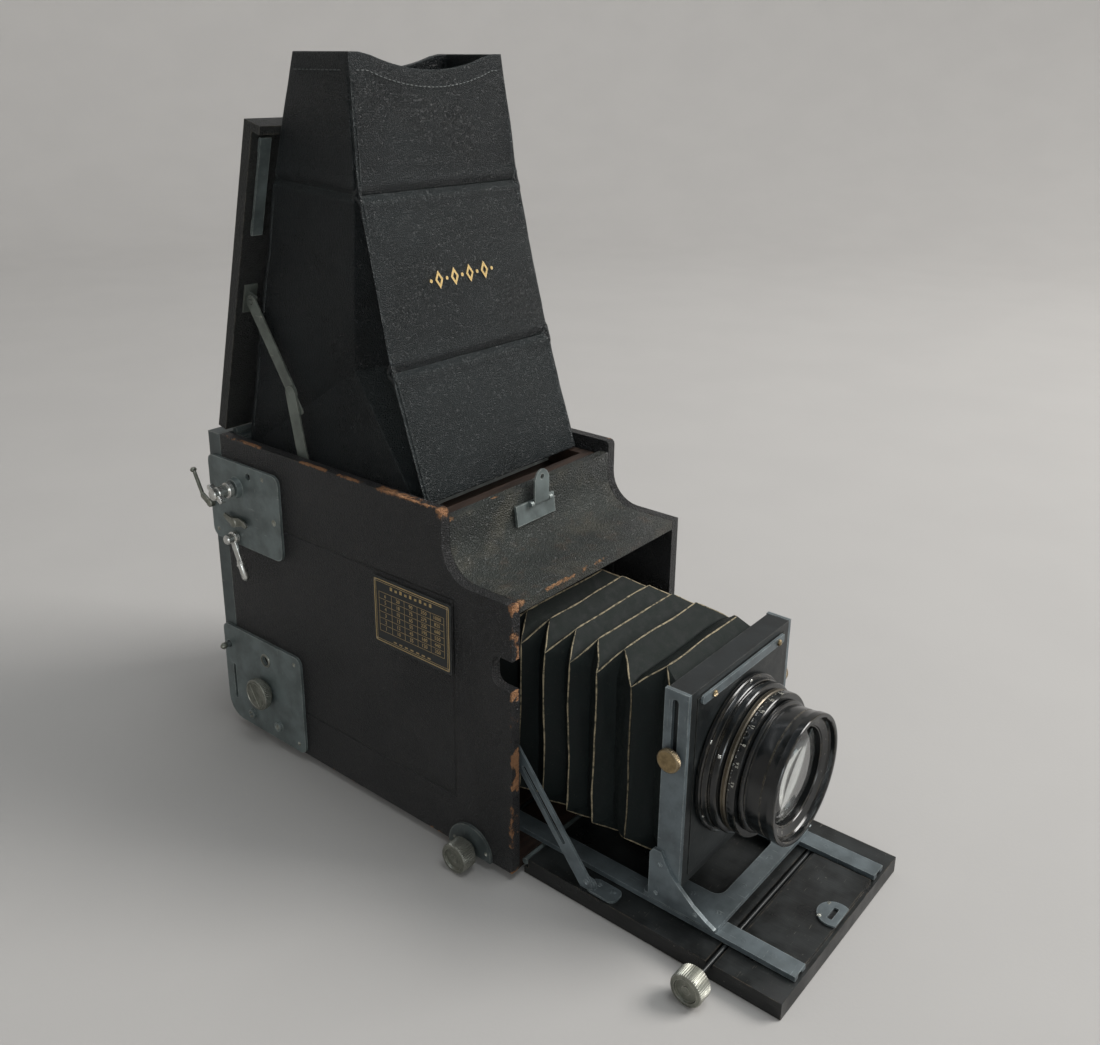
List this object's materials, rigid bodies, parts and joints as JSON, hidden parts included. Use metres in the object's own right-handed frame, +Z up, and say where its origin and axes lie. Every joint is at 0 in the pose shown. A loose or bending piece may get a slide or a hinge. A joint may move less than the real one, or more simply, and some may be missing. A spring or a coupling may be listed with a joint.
{
  "type": "press camera",
  "caption": "Single-lens-reflex press camera for sheet film: leather body, folding focusing hood under a hinged lid, drop bed with rack focusing, pleated bellows and lens",
  "frame": {"origin": "middle of the base, on the surface the camera stands on", "axes": "+Z is up, -Y is where the lens looks, and -X is the side with the winding key and the focusing knobs"},
  "size_m": [0.189, 0.4454, 0.452],
  "materials": {
    "body_leather": "black pebble-grained leather glued over wood, worn at the edges",
    "roof_leather": "finely wrinkled leather with a dull sheen",
    "hood_leather": "soft black grained leather with creased folds",
    "bellows_cloth": "pleated coated cloth, ridges worn tan",
    "blue_grey_enamel": "satin blue-grey enamel on sheet metal",
    "black_enamel": "gloss black enamel",
    "worn_nickel": "nickel plating gone dull",
    "aged_brass": "darkened brass",
    "stained_wood": "dark stained hardwood",
    "lens_glass": "clear polished glass",
    "ground_glass": "finely ground glass",
    "mirror_silver": "silvered glass",
    "rubberised_cloth": "matt rubberised silk"
  },
  "bodies": {
    "body": {"left_side_panel": "body_leather", "right_side_panel": "body_leather", "bottom_board": "stained_wood", "front_roof": "roof_leather", "rear_frame": "blue_grey_enamel", "front_foot_bar": "black_enamel", "rear_foot_bar": "black_enamel", "shutter_curtain": "rubberised_cloth", "upper_shutter_plate": "blue_grey_enamel", "lower_shutter_plate": "blue_grey_enamel", "speed_plate": "aged_brass", "screen_frame": "stained_wood", "focusing_screen": "ground_glass", "focusing_hood": "hood_leather", "lid_hinge_body_leaf": "blue_grey_enamel", "catch_base": "blue_grey_enamel", "drop_bed": "body_leather", "bed_hinge": "blue_grey_enamel", "bed_lock_plate": "blue_grey_enamel", "left_strut": "blue_grey_enamel", "right_strut": "blue_grey_enamel", "focus_escutcheon": "blue_grey_enamel", "bellows_frame": "stained_wood", "bellows": "bellows_cloth"},
    "lid": {"lid": "body_leather", "lid_hinge_lid_leaf": "blue_grey_enamel", "lid_stay_bracket": "blue_grey_enamel", "lid_clip": "blue_grey_enamel"},
    "stay_upper": {"lid_stay_upper_link": "blue_grey_enamel"},
    "stay_lower": {"lid_stay_lower_link": "blue_grey_enamel"},
    "hood_catch": {"catch_tongue": "blue_grey_enamel"},
    "mirror": {"mirror_frame": "stained_wood", "mirror_glass": "mirror_silver", "mirror_shaft_lever": "worn_nickel"},
    "top_roller": {"winding_key": "worn_nickel", "curtain_roller_top": "stained_wood"},
    "bottom_roller": {"curtain_roller_bottom": "stained_wood"},
    "tension": {"tension_knob": "worn_nickel"},
    "release": {"release_lever": "worn_nickel"},
    "pawl": {"pawl_lever": "worn_nickel"},
    "back_catch": {"back_catch_lever": "worn_nickel"},
    "film_back": {"revolving_back": "black_enamel"},
    "track": {"left_rail": "blue_grey_enamel", "right_rail": "blue_grey_enamel", "carriage": "blue_grey_enamel", "left_upright": "blue_grey_enamel", "right_upright": "blue_grey_enamel"},
    "bed_focus": {"bed_focus_knob": "worn_nickel"},
    "body_focus": {"body_focus_knob": "worn_nickel"},
    "standard": {"lens_carrier": "black_enamel", "lens_board": "black_enamel", "board_strip": "blue_grey_enamel", "lens_barrel": "black_enamel", "front_barrel": "black_enamel", "front_glass": "lens_glass", "rear_glass": "lens_glass", "iris_diaphragm": "black_enamel"},
    "aperture": {"aperture_ring": "aged_brass"},
    "left_rise": {"left_rise_knob": "aged_brass"},
    "right_rise": {"right_rise_knob": "aged_brass"}
  },
  "joints": [
    {"name": "lid_fold", "type": "hinge", "parent": "body", "child": "lid", "pos_m": [0.0065, 0.19225, 0.2176], "axis": [1, 0, 0], "range_deg": [0, 75], "deforming": ["focusing_hood"]},
    {"name": "lid_stay_upper_turn", "type": "hinge", "parent": "lid", "child": "stay_upper", "pos_m": [-0.0648, 0.162, 0.30733], "axis": [-1, 0, 0], "range_deg": [0, 66.77]},
    {"name": "lid_stay_lower_turn", "type": "hinge", "parent": "body", "child": "stay_lower", "pos_m": [-0.0661, 0.11575, 0.197], "axis": [1, 0, 0], "range_deg": [0, 146.14]},
    {"name": "hood_catch_spring", "type": "hinge", "parent": "body", "child": "hood_catch", "pos_m": [0.0069, -0.00895, 0.1996], "axis": [1, 0, 0], "range_deg": [0, 30], "stiffness_Nm_per_rad": 0.02},
    {"name": "mirror_swing", "type": "hinge", "parent": "body", "child": "mirror", "pos_m": [0.0065, 0.16375, 0.184], "axis": [-1, 0, 0], "range_deg": [0, 45]},
    {"name": "shutter_wind", "type": "hinge", "parent": "body", "child": "top_roller", "pos_m": [-0.0785, 0.17825, 0.185], "axis": [-1, 0, 0], "range_deg": [0, 1080]},
    {"name": "bottom_roller_turn", "type": "hinge", "parent": "body", "child": "bottom_roller", "pos_m": [0.0065, 0.16425, 0.04], "axis": [-1, 0, 0], "range_deg": [0, 542]},
    {"name": "tension_turn", "type": "hinge", "parent": "body", "child": "tension", "pos_m": [-0.0785, 0.16425, 0.04], "axis": [-1, 0, 0], "range_deg": [0, 1080]},
    {"name": "release_press", "type": "hinge", "parent": "body", "child": "release", "pos_m": [-0.0785, 0.18275, 0.149], "axis": [1, 0, 0], "range_deg": [-14, 0], "stiffness_Nm_per_rad": 0.03},
    {"name": "pawl_tilt", "type": "hinge", "parent": "body", "child": "pawl", "pos_m": [-0.0785, 0.18075, 0.1605], "axis": [1, 0, 0], "range_deg": [-7, 7]},
    {"name": "back_catch_turn", "type": "hinge", "parent": "body", "child": "back_catch", "pos_m": [-0.0775, 0.20575, 0.168], "axis": [1, 0, 0], "range_deg": [0, 55]},
    {"name": "back_rotate", "type": "hinge", "parent": "body", "child": "film_back", "pos_m": [0.0065, 0.21075, 0.095], "axis": [0, 1, 0], "range_deg": [0, 90]},
    {"name": "track_slide", "type": "slide", "parent": "body", "child": "track", "axis": [0, 1, 0], "range_m": [0, 0.13], "deforming": ["bellows"]},
    {"name": "bed_focus_turn", "type": "hinge", "parent": "body", "child": "bed_focus", "pos_m": [-0.0815, -0.18125, 0.0096], "axis": [-1, 0, 0], "range_deg": [0, 2130]},
    {"name": "body_focus_turn", "type": "hinge", "parent": "body", "child": "body_focus", "pos_m": [-0.0815, -0.02525, 0.0096], "axis": [-1, 0, 0], "range_deg": [0, 2130]},
    {"name": "lens_rise", "type": "slide", "parent": "track", "child": "standard", "axis": [0, 0, 1], "range_m": [0, 0.022]},
    {"name": "aperture_turn", "type": "hinge", "parent": "standard", "child": "aperture", "pos_m": [0.0065, -0.17075, 0.0884], "axis": [0, 1, 0], "range_deg": [0, 120]},
    {"name": "left_rise_clamp", "type": "hinge", "parent": "standard", "child": "left_rise", "pos_m": [-0.0495, -0.14345, 0.1089], "axis": [-1, 0, 0], "range_deg": [-180, 0]},
    {"name": "right_rise_clamp", "type": "hinge", "parent": "standard", "child": "right_rise", "pos_m": [0.0625, -0.14345, 0.1089], "axis": [1, 0, 0], "range_deg": [-180, 0]}
  ],
  "couplings": [
    {"joint": "lid_stay_upper_turn", "follows": "lid_fold", "ratio": 0.87688},
    {"joint": "lid_stay_lower_turn", "follows": "lid_fold", "ratio": 1.9353},
    {"joint": "bottom_roller_turn", "follows": "shutter_wind", "ratio": 0.5},
    {"joint": "bed_focus_turn", "follows": "track_slide", "rad_per_m": 285.71},
    {"joint": "body_focus_turn", "follows": "track_slide", "rad_per_m": 285.71}
  ]
}
